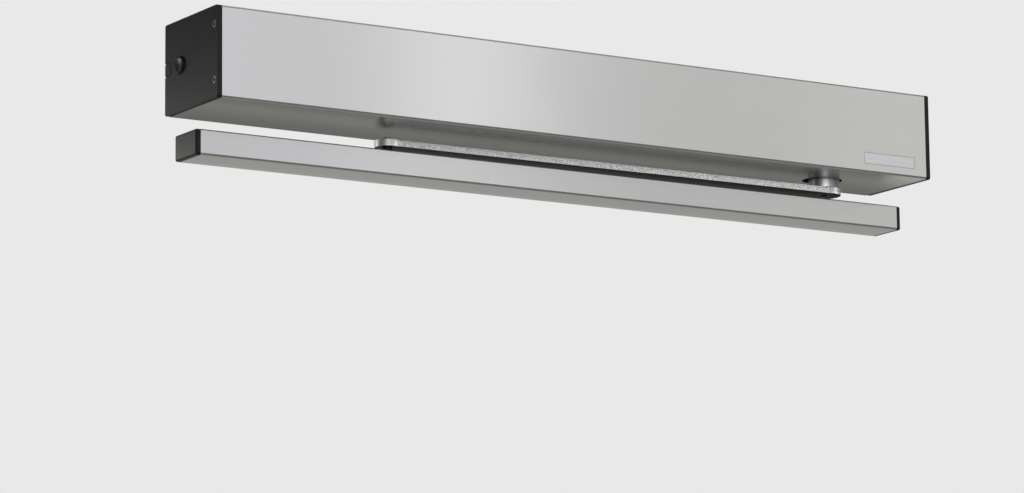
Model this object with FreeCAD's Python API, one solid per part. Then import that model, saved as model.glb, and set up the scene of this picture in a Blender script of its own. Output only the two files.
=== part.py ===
# Swing door operator: a slim powered box over a door, an arm under it, and a slide rail for the door leaf.
# Millimetres, +X to the right seen from the room, +Y into the wall, +Z up.
# The origin is the centre of the mounting plate's back face, on the wall.
import FreeCAD, Part
import math
import os

V = FreeCAD.Vector

# Overall box, read from the photograph's proportions
box_length = 565.0
box_height = 60.0
box_depth = 71.0
edge_radius = 1.6

# Cover and end plates
cover_wall = 2.0
end_plate_wall = 3.5
rim_wall = 1.6
rim_depth = 3.0
rim_gap = 0.25
rim_screw_gap = 7.0
rim_lip_gap = 4.0
end_screw_inset = 4.6
end_screw_margin = 12.0
end_screw_head_r = 2.6
end_screw_head_h = 1.3
end_screw_r = 1.4
end_screw_length = 14.0
socket_r = 1.3
socket_depth = 1.0
screw_gap = 0.15
channel_wall = 1.4
knockout_height = 9.2
knockout_depth = 8.6
knockout_radius = 3.2
groove_width = 0.8
groove_depth = 0.6

# Mounting plate
plate_wall = 2.5
plate_end_gap = 0.6
lip_wall = 1.6
lip_reach = 9.0
lip_gap = 0.3
bead_height = 1.0
bead_width = 1.5
wall_hole_r = 2.75
wall_hole_inset = 20.5
wall_hole_margin = 12.0
cable_hole_r = 7.5
cable_inset = 47.0
grommet_bore_r = 5.0
grommet_lip = 1.5
grommet_lip_r = 9.5

# Output shaft and hub
shaft_end_offset = 62.5
shaft_wall_distance = 30.4
shaft_r = 7.5
journal_r = 5.0
hub_r = 11.0
hub_hole_r = 12.2
hub_slot_left = 3.7
hub_slot_right = 0.8
running_gap = 0.04
seat_gap = 0.02
square_side = 9.0

# Arm
arm_gap = 6.3
arm_thickness = 4.5
arm_length = 353.3
arm_shaft_r = 11.6
arm_pin_r = 8.5
arm_side_step = 0.5
arm_edge = 0.2
arm_screw_head_r = 7.4
arm_screw_head_h = 1.6
arm_screw_r = 2.4
arm_screw_reach = 11.0
arm_socket_r = 2.8
bush_wall = 1.4
bush_recess = 0.6

# Slider
pin_r = 3.0
slider_length = 28.0
slider_width = 12.8
slider_height = 8.0
slider_gap = 0.3
clip_r = 5.2
clip_wall = 0.8

# Slide rail
rail_length = 560.6
rail_depth = 28.6
rail_height = 17.0
rail_drop = 14.1
rail_wall_distance = 10.0
rail_wall = 1.6
rail_back = 2.4
trim_wall = 1.2
trim_gap = 0.1
trim_top_radius = 1.0
cap_wall = 3.4
cap_corner = 1.3
cap_edge = 0.6
plug_length = 5.0
rail_slot = 7.4
rail_slot_front = 10.1
rail_hole_r = 2.25
rail_access_r = 4.6
rail_hole_outer = 500.0
rail_hole_inner = 180.0
stop_travel = 95.0
stop_length = 20.0
buffer_length = 5.0

# Gear train: wheel and pinion teeth of each stage, counted back from the output shaft
pressure_angle = math.radians(25.0)
addendum = 0.95
dedendum = 1.2
backlash = 0.12
stages = (
    {"wheel": 30, "pinion": 12, "module": 1.5},
    {"wheel": 42, "pinion": 12, "module": 1.0},
    {"wheel": 55, "pinion": 12, "module": 0.8},
)
tooth_gap = 0.8
gear_face = (11.0, 6.5, 5.0)
level_gap = 0.5

# Gearbox housing
pan_wall = 2.4
pan_floor = 2.5
floor_gap = 1.3
pan_height = 36.0
lid_wall = 2.5
ear_r = 4.0
ear_height = 8.5
ear_hole_floor = 1.5
lid_screw_floor = 2.0
ear_reach = 2.0
lid_screw_r = 1.25
lid_screw_head_r = 2.7
lid_screw_head_h = 1.8
flange_wall = 4.0
flange_side = 13.0
flange_top_gap = 3.1
flange_bottom_gap = 1.1
flange_screw_r = 2.0
flange_screw_head_r = 3.5
flange_screw_head_h = 2.8
flange_screw_gap = 8.1
lower_bearing_r = 12.0
lower_bearing_h = 6.0
upper_bearing_r = 9.5
upper_bearing_h = 5.0
bearing_land = 2.0
axle_r = (2.5, 2.0)
axle_in_lid = 1.3

# Motor
motor_r = 16.0
motor_length = 24.0
motor_shell = 1.2
motor_end = 1.5
motor_shaft_r = 2.5
rotor_r = 10.3
stator_gap = 0.5
stator_ring = 4.0
stator_slots = 9
stator_slot_width = 2.0
stator_slot_depth = 2.4

# Electronics
board_wall = 1.6
board_stand = 8.7
board_gap = 12.0
board_clear = 1.1
board_motor_gap = 18.0
post_r = 3.0
post_inset = 8.0
carrier_wall = 1.6
terminal_pitch = 5.08
supply_terminal_inset = 2.0
terminal_depth = 10.0
terminal_hole_r = 1.6
terminal_mouth = 2.8
supply_ways = 5
signal_ways = 9
relay_size = (19.0, 15.0, 15.5)
relay_inset = 34.0
chip_side = 14.0
chip_height = 1.4
memory_side = 6.0
memory_gap = 4.0
can_r = 6.2
can_height = 22.0
can_inset = 60.0
can_pitch = 14.0
sink_length = 30.0
sink_height = 22.0
sink_depth = 16.0
sink_base = 3.0
sink_fins = 6
fin_wall = 1.2
supply_inset = 60.5
supply_length = 92.0
supply_depth = 38.0
supply_clear = 2.1
supply_radius = 1.5
vent_count = 9
vent_pitch = 8.5
vent_width = 3.0
vent_depth = 1.2

# Light under the box
light_left = -128.0
light_length = 100.0
light_front = 20.7
light_width = 6.0
light_flange = 1.5
light_flange_wall = 1.0
light_height = 3.5
light_board_wall = 1.2
diode_count = 8
diode_inset = 8.0
diode_side = 2.8
diode_height = 0.8

# Shallow recess in the front for a badge, left bare
badge_length = 44.0
badge_height = 8.2
badge_depth = 0.35
badge_end_distance = 35.3
badge_up = 6.0

# Push button on the left end plate
button_wall_distance = 21.0
button_r = 5.9
button_gap = 0.3
button_proud = 1.4
button_travel = 1.5
button_rim = 1.3
button_dish = 0.7
button_flange_r = 7.2
button_flange_wall = 1.2
button_stem_r = 2.2
button_stem_length = 6.5
button_cup_wall = 1.6
button_cup_depth = 12.0

# Planes and places that follow
left_end = -box_length / 2
right_end = box_length / 2
box_top = box_height / 2
box_bottom = -box_height / 2
front_face = -box_depth
cover_left = left_end + end_plate_wall
cover_right = right_end - end_plate_wall
inner_front = front_face + cover_wall
inner_top = box_top - cover_wall
inner_bottom = box_bottom + cover_wall
plate_front = -plate_wall
end_screw_y = front_face + end_screw_inset
shaft_x = right_end - shaft_end_offset
shaft_y = -shaft_wall_distance
arm_top = box_bottom - arm_gap
arm_bottom = arm_top - arm_thickness
rail_top = box_bottom - rail_drop
rail_bottom = rail_top - rail_height
rail_rear = -rail_wall_distance
rail_front = rail_rear - rail_depth
rail_left = -rail_length / 2
rail_right = rail_length / 2
pin_y = rail_front + rail_slot_front
pin_x = shaft_x - math.sqrt(arm_length ** 2 - (pin_y - shaft_y) ** 2)
button_y = -button_wall_distance
lip_top = inner_top - lip_gap - bead_height
lip_inner = lip_top - lip_wall
end_screw_spread = box_height - 2 * end_screw_margin
wall_hole_spread = box_height - 2 * wall_hole_margin
flange_screw_up = lip_inner - flange_screw_gap
board_height = 2 * (lip_inner - board_clear)
supply_height = 2 * (lip_inner - supply_clear)
supply_left = left_end + supply_inset
board_left = supply_left + supply_length + board_gap


def box(x0, x1, y0, y1, z0, z1):
    return Part.makeBox(x1 - x0, y1 - y0, z1 - z0, V(x0, y0, z0))


def post(r, x, y, z0, z1):
    return Part.makeCylinder(r, z1 - z0, V(x, y, z0))


def pin_along_x(r, x0, x1, y, z):
    return Part.makeCylinder(r, x1 - x0, V(x0, y, z), V(1, 0, 0))


def pin_along_y(r, x, z, y0, y1):
    return Part.makeCylinder(r, y1 - y0, V(x, y0, z), V(0, 1, 0))


def tube(r_out, r_in, x, y, z0, z1):
    return post(r_out, x, y, z0, z1).cut(post(r_in, x, y, z0, z1))


def hex_bar(r, length, start, direction):
    corners = [V(r * math.cos(k * math.pi / 3), r * math.sin(k * math.pi / 3), 0) for k in range(7)]
    bar = Part.Face(Part.makePolygon(corners)).extrude(V(0, 0, length))
    bar.Placement = FreeCAD.Placement(start, FreeCAD.Rotation(V(0, 0, 1), direction))
    return bar


def join(shapes):
    whole = shapes[0]
    for shape in shapes[1:]:
        whole = whole.fuse(shape)
    return whole.removeSplitter()


def long_edges(shape, direction, near):
    # Straight edges along the direction whose middle passes the test
    found = []
    for edge in shape.Edges:
        if len(edge.Vertexes) != 2 or edge.Curve.TypeId != "Part::GeomLine":
            continue
        along = edge.Vertexes[1].Point - edge.Vertexes[0].Point
        if along.cross(direction).Length < 1e-6 * along.Length and near(edge.CenterOfMass):
            found.append(edge)
    return found


def tapered_bar(start, start_r, end, end_r, z0, z1):
    # Two round ends of different radius and the straight sides that touch both
    a = V(start[0], start[1], z0)
    b = V(end[0], end[1], z0)
    run = b - a
    heading = math.atan2(run.y, run.x)
    lean = math.acos((start_r - end_r) / run.Length)

    def at(centre, r, angle):
        return centre + V(r * math.cos(angle), r * math.sin(angle), 0)

    left_a, left_b = at(a, start_r, heading + lean), at(b, end_r, heading + lean)
    right_a, right_b = at(a, start_r, heading - lean), at(b, end_r, heading - lean)
    edges = [
        Part.Arc(left_a, at(a, start_r, heading + math.pi), right_a).toShape(),
        Part.LineSegment(right_a, right_b).toShape(),
        Part.Arc(right_b, at(b, end_r, heading), left_b).toShape(),
        Part.LineSegment(left_b, left_a).toShape(),
    ]
    return Part.Face(Part.Wire(edges)).extrude(V(0, 0, z1 - z0))


def involute(angle):
    return math.tan(angle) - angle


def gear(teeth, module, x, y, z0, z1, first_tooth):
    # Spur gear with three points on each flank and one tooth centred on the given angle
    pitch_r = teeth * module / 2
    base_r = pitch_r * math.cos(pressure_angle)
    tip_r = pitch_r + addendum * module
    root_r = pitch_r - dedendum * module
    half_pitch = math.pi / (2 * teeth) - backlash / (4 * pitch_r)

    def half_angle(r):
        return half_pitch + involute(pressure_angle) - involute(math.acos(base_r / max(r, base_r)))

    radii = (root_r, base_r + 0.1 * module, pitch_r, tip_r)
    points = []
    for k in range(teeth):
        middle = first_tooth + 2 * math.pi * k / teeth
        rising = [(r, middle - half_angle(r)) for r in radii]
        flank = rising + [(r, middle + half_angle(r)) for r in reversed(radii)]
        points += [V(x + r * math.cos(a), y + r * math.sin(a), z0) for r, a in flank]
    return Part.Face(Part.makePolygon(points + points[:1])).extrude(V(0, 0, z1 - z0))


# Axes of the gear train, in line from the output shaft towards the middle of the box
train_x = [shaft_x]
for stage in stages:
    train_x.append(train_x[-1] - (stage["wheel"] + stage["pinion"]) * stage["module"] / 2)
wheel_tip = [stage["module"] * (stage["wheel"] / 2 + addendum) for stage in stages]
pinion_tip = [stage["module"] * (stage["pinion"] / 2 + addendum) for stage in stages]

# Levels of the gear train
pan_bottom = inner_bottom + floor_gap
pan_inside = pan_bottom + pan_floor
pan_top = pan_bottom + pan_height
lid_top = pan_top + lid_wall
wheel_low = [pan_bottom + lower_bearing_h + 1.5]
wheel_low.append(wheel_low[0] + gear_face[0] + 3 * level_gap)
wheel_low.append(wheel_low[1] + gear_face[1] + 4 * level_gap)
wheel_high = [low + face for low, face in zip(wheel_low, gear_face)]
first_floor = wheel_low[1] - 4.5
step_floor = wheel_low[2] - tooth_gap
motor_top = step_floor - pan_floor
motor_x = train_x[3]
board_right = motor_x - motor_r - board_motor_gap


def cover():
    body = box(cover_left, cover_right, front_face, -level_gap, box_bottom, box_top)
    rounded = long_edges(body, V(1, 0, 0), lambda c: c.y < front_face + 1)
    body = body.makeFillet(edge_radius, rounded)
    body = body.cut(box(cover_left, cover_right, inner_front, 0, inner_bottom, inner_top))
    hook_y = -lip_reach + bead_width + level_gap
    parts = [body]
    for side in (-1, 1):
        # Hook that snaps behind the bead of the mounting plate's lip
        z = sorted((side * inner_top, side * (inner_top - bead_height)))
        parts.append(box(cover_left, cover_right, hook_y, hook_y + bead_width, z[0], z[1]))
        # Screw channel on the inside of the front wall
        r = end_screw_r + screw_gap + channel_wall
        z = side * end_screw_spread / 2
        parts.append(pin_along_x(r, cover_left, cover_right, end_screw_y, z))
        parts.append(box(cover_left, cover_right, inner_front - 0.5, end_screw_y, z - r, z + r))
    body = join(parts)
    for side in (-1, 1):
        z = side * end_screw_spread / 2
        body = body.cut(pin_along_x(end_screw_r + screw_gap, cover_left, cover_right, end_screw_y, z))
        mouth = end_screw_r * 0.6
        body = body.cut(box(cover_left, cover_right, end_screw_y, end_screw_y + 5, z - mouth, z + mouth))
    # Long hole, so that the cover still goes on where the shaft stands a little off its place
    ends = (shaft_x - hub_slot_left, shaft_y), (shaft_x + hub_slot_right, shaft_y)
    body = body.cut(tapered_bar(ends[0], hub_hole_r, ends[1], hub_hole_r, box_bottom - 1, inner_bottom + 0.5))
    light_y = front_face + light_front
    half = light_width / 2 + screw_gap
    start, end = light_left + half, light_left + light_length - half
    slot = tapered_bar((start, light_y), half, (end, light_y), half, box_bottom - 1, inner_bottom + 0.5)
    badge_x = right_end - badge_end_distance
    badge_z = box_bottom + badge_up
    badge = box(badge_x - badge_length / 2, badge_x + badge_length / 2, front_face - 1, front_face + badge_depth,
                badge_z, badge_z + badge_height)
    return body.cut(slot).cut(badge)


def end_plate(side):
    # Side -1 is the left plate, which carries the push button
    outer, inner = (left_end, cover_left) if side < 0 else (cover_right, right_end)
    body = box(outer, inner, front_face, 0, box_bottom, box_top)
    corners = long_edges(body, V(1, 0, 0), lambda c: True)
    body = body.makeFillet(edge_radius, corners)
    rim = sorted((cover_left, cover_left + rim_depth))
    if side > 0:
        rim = [cover_right - rim_depth, cover_right]
    reach = inner_top - rim_gap
    rim_front = end_screw_y + rim_screw_gap
    rim_rear = -lip_reach - rim_lip_gap
    for z in (reach - rim_wall, -reach):
        body = body.fuse(box(rim[0], rim[1], rim_front, rim_rear, z, z + rim_wall))
    outside = left_end if side < 0 else right_end
    sink = end_screw_head_h + 0.2
    for z in (-end_screw_spread / 2, end_screw_spread / 2):
        body = body.cut(pin_along_x(end_screw_r + screw_gap, outer - 1, inner + 1, end_screw_y, z))
        x0 = outside if side < 0 else outside - sink
        body = body.cut(pin_along_x(end_screw_head_r + screw_gap, x0, x0 + sink, end_screw_y, z))
    # Thin groove round the cable knock-out
    x0 = outside if side < 0 else outside - groove_depth
    tall = knockout_height / 2
    ring = box(x0, x0 + groove_depth, -knockout_depth, 1, -tall, tall)
    ring = ring.makeFillet(knockout_radius, long_edges(ring, V(1, 0, 0), lambda c: c.y < -1))
    core = box(x0, x0 + groove_depth, -knockout_depth + groove_width, 2, -tall + groove_width, tall - groove_width)
    core = core.makeFillet(knockout_radius - groove_width, long_edges(core, V(1, 0, 0), lambda c: c.y < -1))
    body = body.cut(ring.cut(core))
    if side < 0:
        body = body.cut(pin_along_x(button_r + button_gap, outer - 1, inner + 1, button_y, 0))
    return body.removeSplitter()


def end_screws():
    screws = []
    for side in (-1, 1):
        for z in (-end_screw_spread / 2, end_screw_spread / 2):
            face = left_end if side < 0 else right_end
            under = face - side * (end_screw_head_h + 0.2)
            head = Part.makeCylinder(end_screw_head_r, end_screw_head_h, V(under, end_screw_y, z), V(side, 0, 0))
            shank = Part.makeCylinder(end_screw_r, end_screw_length, V(under, end_screw_y, z), V(-side, 0, 0))
            socket_top = V(under + side * end_screw_head_h, end_screw_y, z)
            socket = hex_bar(socket_r, socket_depth, socket_top, V(-side, 0, 0))
            screws.append(head.fuse(shank).cut(socket))
    return Part.makeCompound(screws)


def mounting_plate():
    left, right = cover_left + plate_end_gap, cover_right - plate_end_gap
    body = box(left, right, plate_front, 0, -lip_top, lip_top)
    for side in (-1, 1):
        z = sorted((side * lip_top, side * (lip_top - lip_wall)))
        body = body.fuse(box(left, right, -lip_reach, 0, z[0], z[1]))
        z = sorted((side * lip_top, side * (lip_top + bead_height)))
        body = body.fuse(box(left, right, -lip_reach, -lip_reach + bead_width, z[0], z[1]))
    body = body.removeSplitter()
    # The lower lip stops beside the gearbox
    notch = (motor_x - motor_r - 2, shaft_x + wheel_tip[0] + flange_side - 4)
    body = body.cut(box(notch[0], notch[1], -lip_reach - 1, plate_front, -box_top, -lip_top + lip_wall + 1))
    for x in (left_end + wall_hole_inset, right_end - wall_hole_inset):
        for z in (-wall_hole_spread / 2, wall_hole_spread / 2):
            body = body.cut(pin_along_y(wall_hole_r, x, z, plate_front - 1, 1))
    for x, z in flange_screw_places():
        body = body.cut(pin_along_y(flange_screw_r + seat_gap, x, z, plate_front - 1, 1))
    return body.cut(pin_along_y(cable_hole_r, left_end + cable_inset, 0, plate_front - 1, 1))


def cable_grommet():
    x = left_end + cable_inset
    body = pin_along_y(cable_hole_r - seat_gap, x, 0, plate_front, 0)
    body = body.fuse(pin_along_y(grommet_lip_r, x, 0, plate_front - grommet_lip, plate_front))
    return body.cut(pin_along_y(grommet_bore_r, x, 0, plate_front - grommet_lip - 1, 1))


def flange_screw_places():
    left = motor_x - motor_r + 5
    right = shaft_x + wheel_tip[0] + 2
    return [(x, z) for x in (left, right) for z in (-flange_screw_up, flange_screw_up)]


def ear_places():
    a, c, m = train_x[0], train_x[2], train_x[3]
    far_a = wheel_tip[0] + tooth_gap + pan_wall + ear_reach
    far_m = motor_r + 2 * ear_reach
    turn = math.sqrt(0.5)
    places = [(a + far_a * turn, shaft_y + s * far_a * turn) for s in (-1, 1)]
    places += [(m - far_m * turn, shaft_y + s * far_m * turn) for s in (-1, 1)]
    return places + [(c, shaft_y - wheel_tip[2] - tooth_gap - pan_wall - ear_reach)]


def housing_outline(z0, z1):
    # Outer form that the pan and its lid share, from the output shaft to the motor
    a, b, c, m = [(x, shaft_y) for x in train_x]
    wall = tooth_gap + pan_wall
    form = [
        tapered_bar(a, wheel_tip[0] + wall, b, wheel_tip[1] + wall, z0, z1),
        tapered_bar(c, wheel_tip[2] + wall, b, wheel_tip[1] + wall, z0, z1),
        tapered_bar(c, wheel_tip[2] + wall, m, motor_r + ear_reach, z0, z1),
    ]
    return form


def gearbox_pan():
    a, b, c, m = [(x, shaft_y) for x in train_x]
    wall = tooth_gap + pan_wall
    deep = tapered_bar(a, wheel_tip[0] + wall, b, wheel_tip[1] + wall, pan_bottom, pan_top)
    middle_r = pinion_tip[1] + wall
    middle = tapered_bar(b, middle_r + 0.5, c, middle_r, first_floor - pan_floor, pan_top)
    body = [deep, middle] + housing_outline(motor_top, pan_top)
    left = motor_x - motor_r - 1
    right = shaft_x + wheel_tip[0] + flange_side - 5
    body.append(box(left, right, plate_front - flange_wall, plate_front,
                    -lip_inner + flange_bottom_gap, lip_inner - flange_top_gap))
    for x, y in ear_places():
        body.append(post(ear_r, x, y, pan_top - ear_height, pan_top))
    pan = join(body)
    inside = [
        tapered_bar(a, wheel_tip[0] + tooth_gap, b, wheel_tip[1] + tooth_gap, pan_inside, pan_top),
        post(pinion_tip[1] + tooth_gap, c[0], c[1], first_floor, pan_top),
        tapered_bar(c, wheel_tip[2] + tooth_gap, b, wheel_tip[1] + tooth_gap, step_floor, pan_top),
        tapered_bar(c, wheel_tip[2] + tooth_gap, m, pinion_tip[2] + tooth_gap, step_floor, pan_top),
    ]
    pan = pan.cut(join(inside))
    seat_top = pan_bottom + lower_bearing_h + 0.5
    pan = pan.fuse(post(lower_bearing_r + pan_wall, shaft_x, shaft_y, pan_bottom, seat_top))
    holes = [
        post(lower_bearing_r + seat_gap, shaft_x, shaft_y, pan_bottom + 0.8, pan_bottom + lower_bearing_h + 1),
        post(hub_r + 0.5, shaft_x, shaft_y, pan_bottom - 1, pan_bottom + 1),
        post(axle_r[0] + seat_gap, b[0], b[1], pan_bottom + 1, pan_inside + 1),
        post(axle_r[1] + seat_gap, c[0], c[1], first_floor - pan_floor + 0.8, first_floor + 1),
        post(motor_shaft_r + 1.5, m[0], m[1], motor_top - 1, step_floor + 1),
    ]
    ear_hole_low = pan_top - ear_height + ear_hole_floor
    holes += [post(lid_screw_r + seat_gap, x, y, ear_hole_low, pan_top + 1) for x, y in ear_places()]
    holes.append(box(left - 1, right + 1, -box_depth, plate_front - 0.5, pan_top, lid_top + 1))
    for x, z in flange_screw_places():
        flange_low = plate_front - flange_wall - 1
        holes.append(pin_along_y(flange_screw_r + seat_gap, x, z, flange_low, plate_front + 1))
    for hole in holes:
        pan = pan.cut(hole)
    return pan.removeSplitter()


def gearbox_lid():
    body = housing_outline(pan_top, lid_top)
    body += [post(ear_r, x, y, pan_top, lid_top) for x, y in ear_places()]
    bearing_low = lid_top - 1 - upper_bearing_h
    body.append(post(upper_bearing_r + pan_wall, shaft_x, shaft_y, bearing_low - 0.5, lid_top))
    lid = join(body)
    lid = lid.cut(post(upper_bearing_r + seat_gap, shaft_x, shaft_y, bearing_low - 1, lid_top - 1))
    for k in (0, 1):
        lid = lid.cut(post(axle_r[k] + seat_gap, train_x[k + 1], shaft_y, pan_top - 1, pan_top + 1.5))
    for x, y in ear_places():
        lid = lid.cut(post(lid_screw_r + screw_gap, x, y, pan_top - 1, lid_top + 1))
    return lid.removeSplitter()


def gearbox_screws():
    screws = []
    for x, y in ear_places():
        shank = post(lid_screw_r, x, y, pan_top - ear_height + lid_screw_floor, lid_top)
        screws.append(shank.fuse(post(lid_screw_head_r, x, y, lid_top, lid_top + lid_screw_head_h)))
    for x, z in flange_screw_places():
        under = plate_front - flange_wall
        shank = pin_along_y(flange_screw_r, x, z, under, -0.5)
        screws.append(shank.fuse(pin_along_y(flange_screw_head_r, x, z, under - flange_screw_head_h, under)))
    return Part.makeCompound(screws)


def bearing(outer_r, bore_r, low, high):
    # Two rings and their shields, as one closed unit with stepped faces
    ring = tube(outer_r, bore_r + running_gap, shaft_x, shaft_y, low, high)
    for z0, z1 in ((low, low + 0.4), (high - 0.4, high)):
        ring = ring.cut(tube(outer_r - 1.2, bore_r + 1.4, shaft_x, shaft_y, z0, z1))
    return ring


def output_shaft():
    low = arm_top - arm_thickness + arm_screw_head_h + 0.3
    upper = lid_top - 1 - upper_bearing_h - 0.5
    body = post(shaft_r, shaft_x, shaft_y, arm_top, upper)
    body = body.fuse(post(journal_r, shaft_x, shaft_y, upper, lid_top - 1.3))
    half = square_side / 2
    stub = box(shaft_x - half, shaft_x + half, shaft_y - half, shaft_y + half, low, arm_top)
    key = box(shaft_x, shaft_x + shaft_r + 1.5, shaft_y - 2, shaft_y + 2, wheel_low[0], wheel_high[0])
    body = body.fuse(stub).fuse(key).removeSplitter()
    return body.cut(post(arm_screw_r + seat_gap, shaft_x, shaft_y, low - 1, arm_top + arm_screw_reach + 1))


def output_gear():
    stage = stages[0]
    wheel = gear(stage["wheel"], stage["module"], shaft_x, shaft_y, wheel_low[0], wheel_high[0], math.pi)
    web_r = (shaft_r + 4, wheel_tip[0] - 3 * stage["module"] - 1)
    for z0, z1 in ((wheel_low[0], wheel_low[0] + 2), (wheel_high[0] - 2, wheel_high[0])):
        wheel = wheel.cut(tube(web_r[1], web_r[0], shaft_x, shaft_y, z0, z1))
    gap = seat_gap
    key = box(shaft_x, shaft_x + shaft_r + 1.5 + gap, shaft_y - 2 - gap, shaft_y + 2 + gap,
              wheel_low[0], wheel_high[0])
    return wheel.cut(post(shaft_r + gap, shaft_x, shaft_y, wheel_low[0], wheel_high[0])).cut(key)


def step_gear(k):
    # A wheel and the pinion that drives the stage before it, on one hub
    x = train_x[k]
    driven, own = stages[k - 1], stages[k]
    pinion_low = wheel_low[k - 1] - 2 * level_gap if k == 1 else wheel_low[1] - 2 * level_gap
    pinion_high = wheel_low[k] - level_gap
    hub_low = (pan_inside if k == 1 else first_floor) + 0.3
    hub_r_low = driven["module"] * (driven["pinion"] / 2 - dedendum) - 0.5
    hub_r_high = axle_r[k - 1] + 1.2
    body = [
        gear(driven["pinion"], driven["module"], x, shaft_y, pinion_low, pinion_high, math.pi / driven["pinion"]),
        gear(own["wheel"], own["module"], x, shaft_y, wheel_low[k], wheel_high[k], math.pi),
        post(hub_r_low, x, shaft_y, hub_low, wheel_low[k]),
        post(hub_r_high, x, shaft_y, wheel_high[k] - 1, pan_top - 0.3),
    ]
    whole = join(body)
    return whole.cut(post(axle_r[k - 1] + running_gap, x, shaft_y, hub_low - 1, pan_top + 1))


def gear_axles():
    lows = (pan_bottom + 1.2, first_floor - pan_floor + 1.0)
    high = pan_top + axle_in_lid
    return Part.makeCompound([post(axle_r[k], train_x[k + 1], shaft_y, lows[k], high) for k in (0, 1)])


def motor_can():
    bottom = motor_top - motor_length
    can = post(motor_r, motor_x, shaft_y, bottom, motor_top)
    low_edge = [e for e in can.Edges if e.Curve.TypeId == "Part::GeomCircle" and e.CenterOfMass.z < bottom + 1]
    can = can.makeFillet(1.2, low_edge)
    can = can.cut(post(motor_r - motor_shell, motor_x, shaft_y, bottom + motor_end, motor_top - motor_end))
    return can.cut(post(motor_shaft_r + running_gap, motor_x, shaft_y, bottom + 0.5, motor_top + 1))


def motor_levels():
    bottom = motor_top - motor_length
    return bottom + motor_end + 2, motor_top - motor_end - 2


def motor_stator():
    low, high = motor_levels()
    inner = rotor_r + stator_gap
    ring = tube(inner + stator_ring - 0.05, inner, motor_x, shaft_y, low, high)
    for k in range(stator_slots):
        slot = box(inner - 1, inner + stator_slot_depth, -stator_slot_width / 2, stator_slot_width / 2, low, high)
        slot.rotate(V(0, 0, 0), V(0, 0, 1), 360.0 * k / stator_slots)
        slot.translate(V(motor_x, shaft_y, 0))
        ring = ring.cut(slot)
    return ring


def motor_rotor():
    low, high = motor_levels()
    stage = stages[2]
    bottom = motor_top - motor_length + 0.8
    tip = wheel_high[2] + 2 * level_gap
    pinion_low = wheel_low[2] - level_gap
    pinion = gear(stage["pinion"], stage["module"], motor_x, shaft_y, pinion_low, tip, math.pi / stage["pinion"])
    shaft = post(motor_shaft_r, motor_x, shaft_y, bottom, tip)
    return join([shaft, post(rotor_r, motor_x, shaft_y, low, high), pinion])


def hub_sleeve():
    top = pan_bottom - 0.2
    body = post(hub_r, shaft_x, shaft_y, arm_top, top)
    rings = [e for e in body.Edges if e.Curve.TypeId == "Part::GeomCircle" and e.CenterOfMass.z < arm_top + 1]
    body = body.makeFillet(0.5, rings)
    return body.cut(post(shaft_r + seat_gap, shaft_x, shaft_y, arm_top - 1, top + 1))


def arm():
    start, end = (shaft_x, shaft_y), (pin_x, pin_y)
    beam = tapered_bar(start, arm_shaft_r - arm_side_step, end, arm_pin_r - arm_side_step, arm_bottom, arm_top)
    beam = beam.makeChamfer(arm_edge, [e for e in beam.Edges if abs(e.Vertexes[0].Z - e.Vertexes[-1].Z) < 0.01])
    ends = [post(arm_shaft_r, start[0], start[1], arm_bottom, arm_top)]
    ends.append(post(arm_pin_r, end[0], end[1], arm_bottom, arm_top))
    body = join([beam] + ends)
    half = square_side / 2 + 0.05
    square = box(start[0] - half, start[0] + half, start[1] - half, start[1] + half, arm_bottom - 1, arm_top + 1)
    body = body.cut(square)
    sink = arm_screw_head_h + 0.2
    body = body.cut(post(arm_screw_head_r + screw_gap, start[0], start[1], arm_bottom - 1, arm_bottom + sink))
    return body.cut(post(pin_r + bush_wall, end[0], end[1], arm_bottom - 1, arm_top + 1))


def arm_screw():
    head_low = arm_bottom + 0.2
    head = post(arm_screw_head_r, shaft_x, shaft_y, head_low, head_low + arm_screw_head_h)
    shank = post(arm_screw_r, shaft_x, shaft_y, head_low, arm_top + arm_screw_reach)
    socket = hex_bar(arm_socket_r, socket_depth, V(shaft_x, shaft_y, head_low), V(0, 0, 1))
    return head.fuse(shank).cut(socket)


def arm_bush():
    return tube(pin_r + bush_wall - seat_gap, pin_r + running_gap, pin_x, pin_y, arm_bottom + bush_recess, arm_top)


def slider_levels():
    top = rail_top - rail_wall - slider_gap
    return top - slider_height, top


def slider_block():
    low, high = slider_levels()
    body = box(pin_x - slider_length / 2, pin_x + slider_length / 2,
               pin_y - slider_width / 2, pin_y + slider_width / 2, low, high)
    body = body.makeFillet(2.0, long_edges(body, V(0, 0, 1), lambda c: True))
    # Collar that stands up through the slot and keeps the arm off the rail
    neck = post(rail_slot / 2 - slider_gap, pin_x, pin_y, high - 1, arm_bottom - 0.3)
    body = body.fuse(neck).removeSplitter()
    return body.cut(post(pin_r + seat_gap, pin_x, pin_y, low + 1, arm_bottom + 1))


def slider_pin():
    low, high = slider_levels()
    pin = post(pin_r, pin_x, pin_y, low + 1.2, arm_top + clip_wall + 1.4)
    return pin.cut(tube(pin_r + 1, pin_r - 0.5, pin_x, pin_y, arm_top + 0.3, arm_top + 0.3 + clip_wall))


def slider_clip():
    low = arm_top + 0.35
    ring = tube(clip_r, pin_r - 0.45, pin_x, pin_y, low, low + clip_wall - 0.1)
    return ring.cut(box(pin_x - clip_r - 1, pin_x, pin_y - 1.2, pin_y + 1.2, low - 1, low + clip_wall + 1))


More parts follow.
